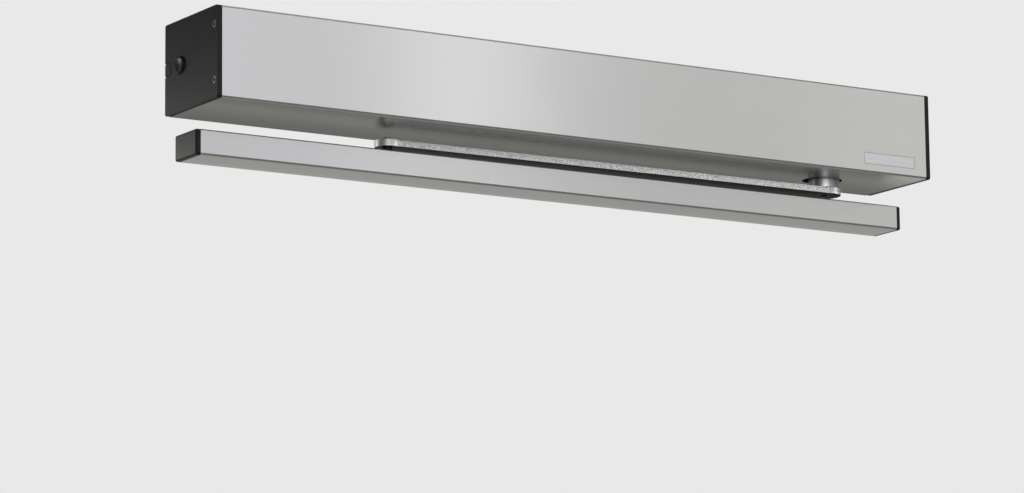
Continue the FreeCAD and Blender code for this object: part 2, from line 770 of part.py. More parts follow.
def rail_channel():
    left, right = rail_left + cap_wall, rail_right - cap_wall
    front = rail_front + trim_wall + trim_gap
    low = rail_bottom + trim_wall + trim_gap
    body = box(left, right, front, rail_rear, low, rail_top)
    body = body.makeChamfer(0.5, long_edges(body, V(1, 0, 0), lambda c: c.y < front + 1 and c.z < low + 1))
    half = slider_width / 2 + slider_gap
    slide_low = slider_levels()[0] - slider_gap
    body = body.cut(box(left, right, pin_y - half, pin_y + half, slide_low, rail_top - rail_wall))
    body = body.cut(box(left, right, pin_y - rail_slot / 2, pin_y + rail_slot / 2, rail_top - rail_wall - 1, rail_top + 1))
    rear_chamber = rail_rear_chamber()
    body = body.cut(box(left, right, rear_chamber, rail_rear - rail_back, low + rail_wall, rail_top - rail_wall))
    under = slide_low - rail_wall
    if under - low > 1.5:
        body = body.cut(box(left, right, front + rail_wall, rear_chamber - rail_wall, low - 1, under))
    z = rail_hole_level()
    for spread in (rail_hole_outer, rail_hole_inner):
        for x in (-spread / 2, spread / 2):
            body = body.cut(pin_along_y(rail_hole_r, x, z, rail_rear - rail_back - 1, rail_rear + 1))
            body = body.cut(pin_along_y(rail_access_r, x, z, front - 1, rear_chamber + 0.5))
    return body.removeSplitter()


def rail_hole_level():
    low, high = slider_levels()
    return (low + high) / 2


def rail_trim():
    left, right = rail_left + cap_wall, rail_right - cap_wall
    outer = box(left, right, rail_front, rail_rear, rail_bottom, rail_top)
    front = lambda c: c.y < rail_front + 1
    bottom_edges = long_edges(outer, V(1, 0, 0), lambda c: front(c) and c.z < rail_bottom + 1)
    outer = outer.makeFillet(edge_radius, bottom_edges)
    top_edges = long_edges(outer, V(1, 0, 0), lambda c: front(c) and c.z > rail_top - 1)
    outer = outer.makeFillet(trim_top_radius, top_edges)
    inner = box(left, right, rail_front + trim_wall, rail_rear + 1, rail_bottom + trim_wall, rail_top + 1)
    inner_edges = long_edges(inner, V(1, 0, 0), lambda c: c.z < rail_bottom + 2 and c.y < rail_front + 2)
    inner = inner.makeFillet(edge_radius - trim_wall, inner_edges)
    return outer.cut(inner)


def rail_cap(side):
    x0, x1 = (rail_left, rail_left + cap_wall) if side < 0 else (rail_right - cap_wall, rail_right)
    outside = x0 if side < 0 else x1
    body = box(x0, x1, rail_front, rail_rear, rail_bottom, rail_top)
    body = body.makeFillet(edge_radius, long_edges(body, V(1, 0, 0), lambda c: c.y < rail_front + 1))
    upright = [e for e in long_edges(body, V(0, 0, 1), lambda c: c.y < rail_front + 1)
               if abs(e.CenterOfMass.x - outside) < 0.01]
    body = body.makeFillet(cap_corner, upright)
    rear = [e for e in long_edges(body, V(0, 0, 1), lambda c: c.y > rail_rear - 1)
            if abs(e.CenterOfMass.x - outside) < 0.01]
    body = body.makeFillet(cap_edge, rear)
    # Plug that holds the cap in the rear chamber
    chamber = rail_rear_chamber()
    low = rail_bottom + trim_wall + trim_gap + rail_wall
    px = (x1 - 0.5, x1 + plug_length) if side < 0 else (x0 - plug_length, x0 + 0.5)
    plug = box(px[0], px[1], chamber + rim_gap, rail_rear - rail_back - rim_gap,
               low + rim_gap, rail_top - rail_wall - rim_gap)
    return body.fuse(plug).removeSplitter()


def rail_rear_chamber():
    return pin_y + slider_width / 2 + slider_gap + rail_wall


def stop_block():
    low, high = slider_levels()
    x0 = stop_start() + buffer_length
    body = box(x0, x0 + stop_length, pin_y - slider_width / 2, pin_y + slider_width / 2, low, high)
    return body.cut(post(2.0 + seat_gap, x0 + stop_length / 2, pin_y, low - 1, high + 1))


def stop_start():
    return pin_x + slider_length / 2 + stop_travel + slider_gap


def stop_buffer():
    low, high = slider_levels()
    x0 = stop_start()
    body = box(x0, x0 + buffer_length, pin_y - slider_width / 2, pin_y + slider_width / 2, low, high)
    return body.makeFillet(1.5, long_edges(body, V(0, 0, 1), lambda c: c.x < x0 + 1))


def stop_screw():
    low, high = slider_levels()
    x = stop_start() + buffer_length + stop_length / 2
    return post(2.0, x, pin_y, low + 0.2, high).fuse(post(3.2, x, pin_y, high, rail_top - 0.3))


def board_plane():
    return plate_front - board_stand


def board_posts():
    xs = (board_left + post_inset, (board_left + board_right) / 2, board_right - post_inset)
    up = board_height / 2 - 2 * post_r
    return [(x, z) for x in xs for z in (-up, up)]


def board_carrier():
    body = [box(board_left, board_right, plate_front - carrier_wall, plate_front, -board_height / 2, board_height / 2)]
    body += [pin_along_y(post_r, x, z, board_plane(), plate_front) for x, z in board_posts()]
    return join(body)


def control_board():
    y = board_plane()
    return box(board_left, board_right, y - board_wall, y, -board_height / 2, board_height / 2)


def on_board(x0, x1, z0, z1, height):
    y = board_plane() - board_wall
    return box(x0, x1, y - height, y, z0, z1)


def terminal_block(start, ways):
    top = board_height / 2 - 1
    y = board_plane() - board_wall - terminal_depth
    body = on_board(start, start + ways * terminal_pitch, top - terminal_depth, top, terminal_depth)
    for k in range(ways):
        x = start + (k + 0.5) * terminal_pitch
        half = terminal_mouth / 2
        body = body.cut(pin_along_y(terminal_hole_r, x, top - 2 * terminal_hole_r, y - 1, y + 2))
        mouth = (top - terminal_depth - 1, top - terminal_depth + 3)
        body = body.cut(box(x - half, x + half, y + terminal_depth / 3, y + terminal_depth / 3 + terminal_mouth, *mouth))
    return body


def terminal_blocks():
    signal_start = board_right - post_inset - post_r - signal_ways * terminal_pitch
    supply = terminal_block(board_left + supply_terminal_inset, supply_ways)
    return Part.makeCompound([supply, terminal_block(signal_start, signal_ways)])


def board_parts():
    y = board_plane() - board_wall
    middle = (board_left + board_right) / 2
    low = -board_height / 2
    length, height, depth = relay_size
    relay_low = low + 2 * can_r
    relay = on_board(board_left + relay_inset - length, board_left + relay_inset, relay_low, relay_low + height, depth)
    half = chip_side / 2
    chip = on_board(middle - half, middle + half, -half, half, chip_height)
    start = middle + half + memory_gap
    memory = on_board(start, start + memory_side, -memory_side / 2, memory_side / 2, chip_height)
    cans = [pin_along_y(can_r, board_left + can_inset + k * can_pitch, low + 1.5 * can_r, y - can_height, y)
            for k in range(2)]
    return Part.makeCompound([relay, chip, memory] + cans)


def heat_sink():
    y = board_plane() - board_wall
    x1 = board_right - post_inset
    x0 = x1 - sink_length
    z0 = -board_height / 2 + 2 * post_r - 2
    body = on_board(x0, x1, z0, z0 + sink_height, sink_base)
    for k in range(sink_fins):
        fin = x0 + k * (sink_length - fin_wall) / (sink_fins - 1)
        body = body.fuse(box(fin, fin + fin_wall, y - sink_depth, y - sink_base / 2, z0, z0 + sink_height))
    return body.removeSplitter()


def power_supply():
    x1 = supply_left + supply_length
    y0 = plate_front - supply_depth
    body = box(supply_left, x1, y0, plate_front, -supply_height / 2, supply_height / 2)
    body = body.makeFillet(supply_radius, body.Edges)
    first = supply_left + (supply_length - (vent_count - 1) * vent_pitch - vent_width) / 2
    for k in range(vent_count):
        x = first + k * vent_pitch
        up = supply_height / 2 - vent_pitch
        body = body.cut(box(x, x + vent_width, y0 - 1, y0 + vent_depth, -up, up))
    return body


def light_lens():
    y = front_face + light_front
    half = light_width / 2
    start, end = light_left + half + screw_gap, light_left + light_length - half - screw_gap
    bar = tapered_bar((start, y), half, (end, y), half, box_bottom, inner_bottom + light_flange_wall)
    wide = half + light_flange
    low = inner_bottom
    flange = tapered_bar((start, y), wide, (end, y), wide, low, low + light_flange_wall)
    rails = tapered_bar((start, y), wide, (end, y), wide, low, box_bottom + light_height + 1)
    hollow = tapered_bar((start, y), half - 1.2, (end, y), half - 1.2, box_bottom + 1.4, box_bottom + light_height + 2)
    return bar.fuse(flange).fuse(rails).removeSplitter().cut(hollow)


def light_board():
    y = front_face + light_front
    half = light_width / 2 + light_flange
    low = box_bottom + light_height + 1
    start, end = light_left + half, light_left + light_length - half
    return box(start - 2, end + 2, y - half, y + half, low, low + light_board_wall)


def light_diodes():
    y = front_face + light_front
    top = box_bottom + light_height + 1
    pitch = (light_length - 2 * diode_inset) / (diode_count - 1)
    half = diode_side / 2
    middles = [light_left + diode_inset + k * pitch for k in range(diode_count)]
    return Part.makeCompound([box(x - half, x + half, y - half, y + half, top - diode_height, top) for x in middles])


def push_button():
    tip = left_end - button_proud
    rear = cover_left
    cap = pin_along_x(button_r, tip, rear, button_y, 0)
    edge = [e for e in cap.Edges if e.Curve.TypeId == "Part::GeomCircle" and e.CenterOfMass.x < tip + 0.1]
    cap = cap.makeFillet(button_rim, edge)
    dish_r = button_r - button_rim - seat_gap
    ball_r = (dish_r ** 2 + button_dish ** 2) / (2 * button_dish)
    cap = cap.cut(Part.makeSphere(ball_r, V(tip + button_dish - ball_r, button_y, 0)))
    flange = pin_along_x(button_flange_r, rear, rear + button_flange_wall, button_y, 0)
    stem = pin_along_x(button_stem_r, rear + button_flange_wall - 0.5, rear + button_stem_length, button_y, 0)
    return cap.fuse(flange).fuse(stem).removeSplitter()


def button_switch():
    half = button_flange_r + button_gap + button_cup_wall
    x0, x1 = cover_left, cover_left + button_cup_depth
    body = box(x0, x1, button_y - half, button_y + half, -half, half)
    body = body.makeFillet(2.0, long_edges(body, V(1, 0, 0), lambda c: True))
    body = body.cut(pin_along_x(button_flange_r + button_gap, x0 - 1, x1 - 2, button_y, 0))
    plunger = tube_along_x(button_stem_r + 2, 0.8, x1 - 3.6, x1 - 2, button_y, 0)
    return body.fuse(plunger).removeSplitter()


def tube_along_x(r_out, r_in, x0, x1, y, z):
    return pin_along_x(r_out, x0, x1, y, z).cut(pin_along_x(r_in, x0 - 1, x1 + 1, y, z))


def save(name, shape):
    if not shape.isValid():
        print("not valid:", name)
    shape.exportStep("parts/" + name + ".step")
    print("%-20s solids %d  volume %.1f" % (name, len(shape.Solids), shape.Volume))


os.makedirs("parts", exist_ok=True)
lower_bearing_low = pan_bottom + 0.8
upper_bearing_low = lid_top - 1 - upper_bearing_h
nodes = {
    "mounting_plate": mounting_plate(),
    "cable_grommet": cable_grommet(),
    "cover": cover(),
    "end_plate_left": end_plate(-1),
    "end_plate_right": end_plate(1),
    "end_plate_screws": end_screws(),
    "push_button": push_button(),
    "button_switch": button_switch(),
    "gearbox_pan": gearbox_pan(),
    "gearbox_lid": gearbox_lid(),
    "gearbox_screws": gearbox_screws(),
    "lower_bearing": bearing(lower_bearing_r, shaft_r, lower_bearing_low, pan_bottom + lower_bearing_h + 0.5),
    "upper_bearing": bearing(upper_bearing_r, journal_r, upper_bearing_low, lid_top - 1),
    "output_shaft": output_shaft(),
    "output_gear": output_gear(),
    "second_gear": step_gear(1),
    "first_gear": step_gear(2),
    "gear_axles": gear_axles(),
    "motor_can": motor_can(),
    "motor_stator": motor_stator(),
    "motor_rotor": motor_rotor(),
    "hub_sleeve": hub_sleeve(),
    "arm": arm(),
    "arm_screw": arm_screw(),
    "arm_bush": arm_bush(),
    "slider_block": slider_block(),
    "slider_pin": slider_pin(),
    "slider_clip": slider_clip(),
    "rail_channel": rail_channel(),
    "rail_trim": rail_trim(),
    "rail_cap_left": rail_cap(-1),
    "rail_cap_right": rail_cap(1),
    "stop_block": stop_block(),
    "stop_buffer": stop_buffer(),
    "stop_screw": stop_screw(),
    "board_carrier": board_carrier(),
    "control_board": control_board(),
    "terminal_blocks": terminal_blocks(),
    "board_parts": board_parts(),
    "heat_sink": heat_sink(),
    "power_supply": power_supply(),
    "light_lens": light_lens(),
    "light_board": light_board(),
    "light_diodes": light_diodes(),
}
for name, shape in nodes.items():
    save(name, shape)
print("shaft", shaft_x, shaft_y, "pin", round(pin_x, 3), round(pin_y, 3))
print("train", [round(x, 3) for x in train_x])
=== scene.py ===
# Swing door operator: looks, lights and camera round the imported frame
import bpy
import bmesh
import math
from mathutils import Matrix, Vector


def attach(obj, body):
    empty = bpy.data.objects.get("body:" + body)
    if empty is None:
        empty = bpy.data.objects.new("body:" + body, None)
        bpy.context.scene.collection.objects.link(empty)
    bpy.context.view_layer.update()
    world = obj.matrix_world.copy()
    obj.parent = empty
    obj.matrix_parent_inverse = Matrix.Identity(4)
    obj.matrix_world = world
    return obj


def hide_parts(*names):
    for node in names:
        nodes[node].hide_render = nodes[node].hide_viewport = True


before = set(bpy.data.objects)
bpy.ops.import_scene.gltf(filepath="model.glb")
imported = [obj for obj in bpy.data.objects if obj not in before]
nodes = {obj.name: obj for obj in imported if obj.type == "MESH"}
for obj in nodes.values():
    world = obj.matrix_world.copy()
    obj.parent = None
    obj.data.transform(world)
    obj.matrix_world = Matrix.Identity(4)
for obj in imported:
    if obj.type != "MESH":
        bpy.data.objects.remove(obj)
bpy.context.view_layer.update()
mm = 0.001


def linearColour(hexCode):
    # sRGB hex code to linear red, green and blue, with full alpha
    channels = [int(hexCode[i:i + 2], 16) / 255 for i in (1, 3, 5)]
    return [c / 12.92 if c <= 0.04045 else ((c + 0.055) / 1.055) ** 2.4 for c in channels] + [1.0]


def addNode(tree, kind, values=None, links=None, **settings):
    # One shader node with its settings, socket values and incoming links
    node = tree.nodes.new("ShaderNode" + kind)
    for name, value in settings.items():
        setattr(node, name, value)
    for socket, value in (values or {}).items():
        node.inputs[socket].default_value = value
    for socket, source in (links or {}).items():
        tree.links.new(source, node.inputs[socket])
    return node


def newMaterial(name):
    material = bpy.data.materials.new(name)
    material.use_nodes = True
    tree = material.node_tree
    shader = tree.nodes["Principled BSDF"]
    place = addNode(tree, "TexCoord").outputs["Object"]
    return material, tree, shader, place


def evenNoise(tree, place, cellMm, detail):
    # Noise whose cells are about as large in every direction
    scale = 1 / (cellMm * mm)
    noise = addNode(tree, "TexNoise", {"Scale": scale, "Detail": detail}, {"Vector": place})
    return noise.outputs["Fac"]


def longNoise(tree, place, cellMm, detail):
    # Noise whose cells have their own size along x, y and z
    scale = [1 / (size * mm) for size in cellMm]
    cells = addNode(tree, "Mapping", {"Scale": scale}, {"Vector": place}).outputs["Vector"]
    noise = addNode(tree, "TexNoise", {"Scale": 1.0, "Detail": detail}, {"Vector": cells})
    return noise.outputs["Fac"]


def blend(tree, share, first, second):
    # The first value with a share of the second in it
    mix = addNode(tree, "Mix", {"Factor": share}, {"A": first, "B": second}, data_type="FLOAT")
    return mix.outputs["Result"]


def overlay(tree, base, factor, hexCode):
    # The base colour, hidden under a plain colour where the factor is 1
    plain = {"B": linearColour(hexCode)}
    mix = addNode(tree, "Mix", plain, {"Factor": factor, "A": base}, data_type="RGBA")
    return mix.outputs["Result"]


def shade(tree, factor, darkHex, lightHex, low=0.35, high=0.65):
    # The dark colour up to low, the light one from high, and a blend between them
    ramp = addNode(tree, "ValToRGB", None, {"Fac": factor})
    ramp.color_ramp.elements[0].position = low
    ramp.color_ramp.elements[0].color = linearColour(darkHex)
    ramp.color_ramp.elements[1].position = high
    ramp.color_ramp.elements[1].color = linearColour(lightHex)
    return ramp.outputs["Color"]


def toRange(tree, factor, low, high):
    ends = addNode(tree, "MapRange", {"To Min": low, "To Max": high}, {"Value": factor})
    return ends.outputs["Result"]


def bumpFrom(tree, height, depthMm, strength):
    relief = {"Strength": strength, "Distance": depthMm * mm}
    return addNode(tree, "Bump", relief, {"Height": height}).outputs["Normal"]


def setShader(tree, shader, values, links):
    for socket, value in values.items():
        shader.inputs[socket].default_value = value
    for socket, source in links.items():
        tree.links.new(source, shader.inputs[socket])


# Anodised aluminium extrusion, satin: a soft even grey with very fine lines along the profile
satin = {"lineMm": 0.5, "lineLengthMm": 90.0, "cloudMm": 45.0, "cloudShare": 0.3,
         "spread": 0.01, "depthMm": 0.004, "bump": 0.02}


def satinAnodisedAluminium(name, darkHex, lightHex, roughness):
    material, tree, shader, place = newMaterial(name)
    lineCell = (satin["lineLengthMm"], satin["lineMm"], satin["lineMm"])
    lines = longNoise(tree, place, lineCell, detail=3.0)
    cloud = evenNoise(tree, place, satin["cloudMm"], detail=2.0)
    factor = blend(tree, satin["cloudShare"], lines, cloud)
    spread = satin["spread"]
    setShader(tree, shader, {"Metallic": 1.0}, {
        "Base Color": shade(tree, factor, darkHex, lightHex),
        "Roughness": toRange(tree, factor, roughness - spread, roughness + spread),
        "Normal": bumpFrom(tree, lines, satin["depthMm"], satin["bump"])})
    return material


# Moulded plastic: spark-eroded grain that breaks up the gloss
moulded = {"ior": 1.49, "cloudMm": 25.0, "cloudShare": 0.5, "spread": 0.06, "bump": 0.4}


def grainedPlastic(name, darkHex, lightHex, roughness, grainMm=0.5, depthMm=0.02, specular=0.5):
    material, tree, shader, place = newMaterial(name)
    grain = evenNoise(tree, place, grainMm, detail=4.0)
    cloud = evenNoise(tree, place, moulded["cloudMm"], detail=1.0)
    factor = blend(tree, moulded["cloudShare"], grain, cloud)
    spread = moulded["spread"]
    setShader(tree, shader, {"IOR": moulded["ior"], "Specular IOR Level": specular}, {
        "Base Color": shade(tree, factor, darkHex, lightHex),
        "Roughness": toRange(tree, grain, roughness - spread, roughness + spread),
        "Normal": bumpFrom(tree, grain, depthMm, moulded["bump"])})
    return material


# Black moulded button: fingers polish its dished middle, the collar round it keeps the matt grain.
# The dish's centre, radius and edge are in metres
button = {"y": -0.021, "z": 0.0, "dish": 0.0045, "edge": 0.0002, "grainMm": 0.8, "depthMm": 0.01,
          "bump": 0.3, "ior": 1.49, "specular": 0.4, "dishRoughness": 0.26,
          "collarRoughness": 0.6, "collarHex": "#101011"}


def dishedButton(name, darkHex, lightHex):
    material, tree, shader, place = newMaterial(name)
    grain = evenNoise(tree, place, button["grainMm"], detail=3.0)
    across = addNode(tree, "VectorMath", {1: (0.0, 1.0, 1.0)}, {0: place}, operation="MULTIPLY")
    apart = addNode(tree, "VectorMath", {1: (0.0, button["y"], button["z"])},
                    {0: across.outputs["Vector"]}, operation="DISTANCE")
    edge = {"From Min": button["dish"] - button["edge"], "From Max": button["dish"]}
    collar = addNode(tree, "MapRange", edge, {"Value": apart.outputs["Value"]}).outputs["Result"]
    base = shade(tree, grain, darkHex, lightHex)
    setShader(tree, shader, {"IOR": button["ior"], "Specular IOR Level": button["specular"]}, {
        "Base Color": overlay(tree, base, collar, button["collarHex"]),
        "Roughness": toRange(tree, collar, button["dishRoughness"], button["collarRoughness"]),
        "Normal": bumpFrom(tree, grain, button["depthMm"], button["bump"])})
    return material


# Cast metal with a silver coat: bright specks along the beam, ends rubbed smooth, and painted
# shade on the underside. The beam's middle, half length and fade and the height of the painted
# shade are in metres, and the specks' dark and bright ends are shares of the pattern
beam = {"middle": 0.050, "half": 0.178, "fade": 0.004, "under": -0.04075, "underShadeHex": "#222324",
        "speckMm": 0.85, "fineShare": 0.7, "noiseShare": 0.55, "darkEnd": 0.33, "brightEnd": 0.58,
        "rubbed": 0.6, "endGloss": 0.04, "depthMm": 0.12, "bump": 0.45}


def castSilverCoat(name, darkHex, lightHex, roughness):
    material, tree, shader, place = newMaterial(name)
    speckScale = {"Scale": 1 / (beam["speckMm"] * mm)}
    grains = addNode(tree, "TexVoronoi", speckScale, {"Vector": place}).outputs["Distance"]
    fine = evenNoise(tree, place, beam["speckMm"] * beam["fineShare"], detail=3.0)
    specks = blend(tree, beam["noiseShare"], grains, fine)
    axes = addNode(tree, "SeparateXYZ", None, {"Vector": place}).outputs
    along = addNode(tree, "Math", {1: beam["middle"]}, {0: axes["X"]}, operation="SUBTRACT")
    away = addNode(tree, "Math", None, {0: along.outputs[0]}, operation="ABSOLUTE").outputs[0]
    fade = {"From Min": beam["half"], "From Max": beam["half"] + beam["fade"],
            "To Min": 1.0, "To Max": 0.0}
    rough = addNode(tree, "MapRange", fade, {"Value": away}).outputs["Result"]
    surface = addNode(tree, "Mix", {"A": beam["rubbed"]}, {"Factor": rough, "B": specks},
                      data_type="FLOAT").outputs["Result"]
    # Below this height the coat is covered with a plain dark colour: painted shade on the arm's
    # underside
    under = addNode(tree, "Math", {1: beam["under"]}, {0: axes["Z"]}, operation="LESS_THAN")
    coat = shade(tree, surface, darkHex, lightHex, beam["darkEnd"], beam["brightEnd"])
    setShader(tree, shader, {"Metallic": 1.0}, {
        "Base Color": overlay(tree, coat, under.outputs[0], beam["underShadeHex"]),
        "Roughness": toRange(tree, rough, roughness - beam["endGloss"], roughness),
        "Normal": bumpFrom(tree, surface, beam["depthMm"], beam["bump"])})
    return material


# Turned or ground metal: fine rings left by the tool, along the axis given
turned = {"wideMm": 1000.0, "glossier": 0.05, "duller": 0.08, "depthMm": 0.01, "bump": 0.25}


def turnedMetal(name, darkHex, lightHex, roughness, ringMm=0.25, axis="z"):
    material, tree, shader, place = newMaterial(name)
    ringCell = [ringMm if letter == axis else turned["wideMm"] for letter in "xyz"]
    rings = longNoise(tree, place, ringCell, detail=2.0)
    setShader(tree, shader, {"Metallic": 1.0}, {
        "Base Color": shade(tree, rings, darkHex, lightHex),
        "Roughness": toRange(tree, rings, roughness - turned["glossier"],
                             roughness + turned["duller"]),
        "Normal": bumpFrom(tree, rings, turned["depthMm"], turned["bump"])})
    return material


# Zinc plate on steel: large soft crystals, each a slightly different grey
zinc = {"crystalMm": 5.0, "fineMm": 0.6, "fineShare": 0.4, "darkEnd": 0.2, "brightEnd": 0.8,
        "glossiest": 0.32, "dullest": 0.5, "depthMm": 0.01, "bump": 0.2}


def zincPlatedSteel(name, darkHex, lightHex):
    material, tree, shader, place = newMaterial(name)
    crystalScale = {"Scale": 1 / (zinc["crystalMm"] * mm)}
    crystals = addNode(tree, "TexVoronoi", crystalScale, {"Vector": place}).outputs["Color"]
    tone = addNode(tree, "RGBToBW", None, {"Color": crystals}).outputs["Val"]
    fine = evenNoise(tree, place, zinc["fineMm"], detail=3.0)
    factor = blend(tree, zinc["fineShare"], tone, fine)
    setShader(tree, shader, {"Metallic": 1.0}, {
        "Base Color": shade(tree, factor, darkHex, lightHex, zinc["darkEnd"], zinc["brightEnd"]),
        "Roughness": toRange(tree, factor, zinc["glossiest"], zinc["dullest"]),
        "Normal": bumpFrom(tree, fine, zinc["depthMm"], zinc["bump"])})
    return material


# Die-cast metal: matt skin with small pits
dieCast = {"pitMm": 1.4, "spread": 0.08, "depthMm": 0.05, "bump": 0.4}


def dieCastMetal(name, darkHex, lightHex, roughness):
    material, tree, shader, place = newMaterial(name)
    skin = evenNoise(tree, place, dieCast["pitMm"], detail=6.0)
    spread = dieCast["spread"]
    setShader(tree, shader, {"Metallic": 1.0}, {
        "Base Color": shade(tree, skin, darkHex, lightHex),
        "Roughness": toRange(tree, skin, roughness - spread, roughness + spread),
        "Normal": bumpFrom(tree, skin, dieCast["depthMm"], dieCast["bump"])})
    return material


# Printed circuit board: solder mask over copper tracks on a fine grid
board = {"gridMm": 12, "trackShare": 0.03, "maskHexes": ("#0D4A2A", "#0B4025"),
         "trackHex": "#1E6B3F", "fineMm": 2, "ior": 1.5, "coat": 0.4, "coatRoughness": 0.1,
         "glossiest": 0.3, "dullest": 0.45}


def solderMask(name):
    material, tree, shader, place = newMaterial(name)
    grid = {"Scale": 1 / (board["gridMm"] * mm), "Mortar Size": board["trackShare"],
            "Color1": linearColour(board["maskHexes"][0]),
            "Color2": linearColour(board["maskHexes"][1]),
            "Mortar": linearColour(board["trackHex"])}
    tracks = addNode(tree, "TexBrick", grid, {"Vector": place})
    fine = evenNoise(tree, place, board["fineMm"], detail=2.0)
    setShader(tree, shader, {"IOR": board["ior"], "Coat Weight": board["coat"],
                             "Coat Roughness": board["coatRoughness"]}, {
        "Base Color": tracks.outputs["Color"],
        "Roughness": toRange(tree, fine, board["glossiest"], board["dullest"])})
    return material


# Frosted polycarbonate lens: scatters light, with a soft surface bloom
lens = {"frostMm": 0.8, "darkHex": "#D6D7D1", "lightHex": "#E4E5DF", "ior": 1.58, "clear": 0.35,
        "glossiest": 0.35, "dullest": 0.5, "depthMm": 0.02, "bump": 0.3}


def frostedLens(name):
    material, tree, shader, place = newMaterial(name)
    frost = evenNoise(tree, place, lens["frostMm"], detail=3.0)
    setShader(tree, shader, {"IOR": lens["ior"], "Transmission Weight": lens["clear"]}, {
        "Base Color": shade(tree, frost, lens["darkHex"], lens["lightHex"]),
        "Roughness": toRange(tree, frost, lens["glossiest"], lens["dullest"]),
        "Normal": bumpFrom(tree, frost, lens["depthMm"], lens["bump"])})
    return material


def paint(material, *names):
    for name in names:
        slots = nodes[name].data.materials
        slots.clear()
        slots.append(material)


# Each has its darkest and lightest colour and its mean roughness. The size of its grain or rings
# in millimetres and the rings' axis follow where they aren't the usual ones
coverAluminium = satinAnodisedAluminium("satinAnodisedAluminium", "#CDCDCD", "#D1D1D1", 0.25)
railAluminium = satinAnodisedAluminium("satinAnodisedRail", "#CCCCCD", "#D0D0D1", 0.3)
blackPlastic = grainedPlastic("blackGrainedAbs", "#161618", "#1C1C1E", 0.45, specular=0.35)
buttonPlastic = dishedButton("blackButtonSatinDish", "#1C1C1E", "#262628")
mouldedBlack = grainedPlastic("mouldedNylonBlack", "#17171A", "#1E1E21", 0.55, 1.2)
blackNylon = grainedPlastic("blackSlideNylon", "#141415", "#1B1B1C", 0.45, 2.0)
greenPlastic = grainedPlastic("mouldedTerminalGreen", "#1C6B3A", "#237A44", 0.4, 1.5)
rubberBlack = grainedPlastic("rubberBlack", "#131313", "#1B1B1B", 0.8, 0.9, depthMm=0.04)
phosphorYellow = grainedPlastic("phosphorSilicone", "#D9C46A", "#E6D27C", 0.35, 0.6)
armCast = castSilverCoat("castSilverCoat", "#A4A6A8", "#FDFEFF", 0.42)
hubSteel = turnedMetal("turnedPolishedSteel", "#B2B3B5", "#CBCCCE", 0.38)
screwSteel = turnedMetal("zincPlatedScrews", "#9A9B9D", "#B2B3B5", 0.34, 0.4, "x")
endScrewSteel = turnedMetal("dullPassivatedScrews", "#7C7D80", "#8E8F92", 0.44, 0.4, "x")
armScrewSteel = turnedMetal("blackenedArmScrew", "#2A2B2D", "#36373A", 0.4)
shaftSteel = turnedMetal("turnedShaftSteel", "#8E8F91", "#A8A9AB", 0.3)
groundSteel = turnedMetal("groundBearingSteel", "#B4B5B7", "#C8C9CB", 0.18, 0.15)
springSteel = turnedMetal("brightSpringSteel", "#9C9EA1", "#B0B2B5", 0.35)
gearSteel = dieCastMetal("sinteredGearSteel", "#5E5F61", "#77787A", 0.45)
housingAluminium = dieCastMetal("dieCastAluminium", "#8F9092", "#A5A6A8", 0.5)
bronze = dieCastMetal("sinteredBronze", "#8F6A35", "#A87F45", 0.42)
plateZinc = zincPlatedSteel("zincPlatedSheet", "#A2A5A8", "#BCBEC0")
motorPaint = grainedPlastic("blackCoatedMotorCan", "#1B1B1D", "#232326", 0.4, 0.9)
copperLacquer = dieCastMetal("lacquerOnWindings", "#7A3F1C", "#96522A", 0.38)
sinkAluminium = dieCastMetal("blackAnodisedSink", "#18181A", "#222225", 0.42)
boardMask = solderMask("solderMaskGreen")
lensFrost = frostedLens("frostedPolycarbonate")

paint(coverAluminium, "cover")
paint(railAluminium, "rail_trim", "rail_channel")
paint(blackPlastic, "end_plate_left", "end_plate_right", "rail_cap_left", "rail_cap_right")
paint(buttonPlastic, "push_button")
paint(mouldedBlack, "button_switch", "board_carrier", "board_parts", "power_supply")
paint(blackNylon, "slider_block")
paint(greenPlastic, "terminal_blocks")
paint(rubberBlack, "cable_grommet", "stop_buffer")
paint(phosphorYellow, "light_diodes")
paint(armCast, "arm")
paint(hubSteel, "hub_sleeve")
paint(screwSteel, "gearbox_screws", "stop_screw")
paint(endScrewSteel, "end_plate_screws")
paint(armScrewSteel, "arm_screw")
paint(shaftSteel, "output_shaft", "gear_axles", "slider_pin", "motor_rotor")
paint(groundSteel, "lower_bearing", "upper_bearing")
paint(springSteel, "slider_clip")
paint(gearSteel, "output_gear", "second_gear", "first_gear")
paint(housingAluminium, "gearbox_pan", "gearbox_lid")
paint(bronze, "arm_bush")
paint(plateZinc, "mounting_plate", "stop_block")
paint(motorPaint, "motor_can")
paint(copperLacquer, "motor_stator")
paint(sinkAluminium, "heat_sink")
paint(boardMask, "control_board", "light_board")
paint(lensFrost, "light_lens")
print("materials done")


# Round pieces whose facets would break a highlight: a merged copy, smooth across the small
# facets, stands for each. Each has its body, its slot and the largest angle in degrees that is
# smoothed, and an edge beside a larger facet stays sharp
smoothed = {"arm": ("arm", "arm_cast", 30), "hub_sleeve": ("arm", "hub_metal", 30),
            "push_button": ("button", "button", 35)}
largestFacet = 60 * mm * mm
mergeWithin = 0.001 * mm


def smoothCopy(name, body, slotName, degrees):
    mesh = nodes[name].data.copy()
    bm = bmesh.new()
    bm.from_mesh(mesh)
    bmesh.ops.remove_doubles(bm, verts=bm.verts, dist=mergeWithin)
    for face in bm.faces:
        face.smooth = True
    for edge in bm.edges:
        gentle = edge.calc_face_angle(math.pi) < math.radians(degrees)
        edge.smooth = gentle and all(face.calc_area() < largestFacet for face in edge.link_faces)
    bm.to_mesh(mesh)
    bm.free()
    piece = bpy.data.objects.new(name + "Smooth", mesh)
    bpy.context.collection.objects.link(piece)
    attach(piece, body)
    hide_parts(name)


for name, how in smoothed.items():
    smoothCopy(name, *how)
print("smooth copies done")


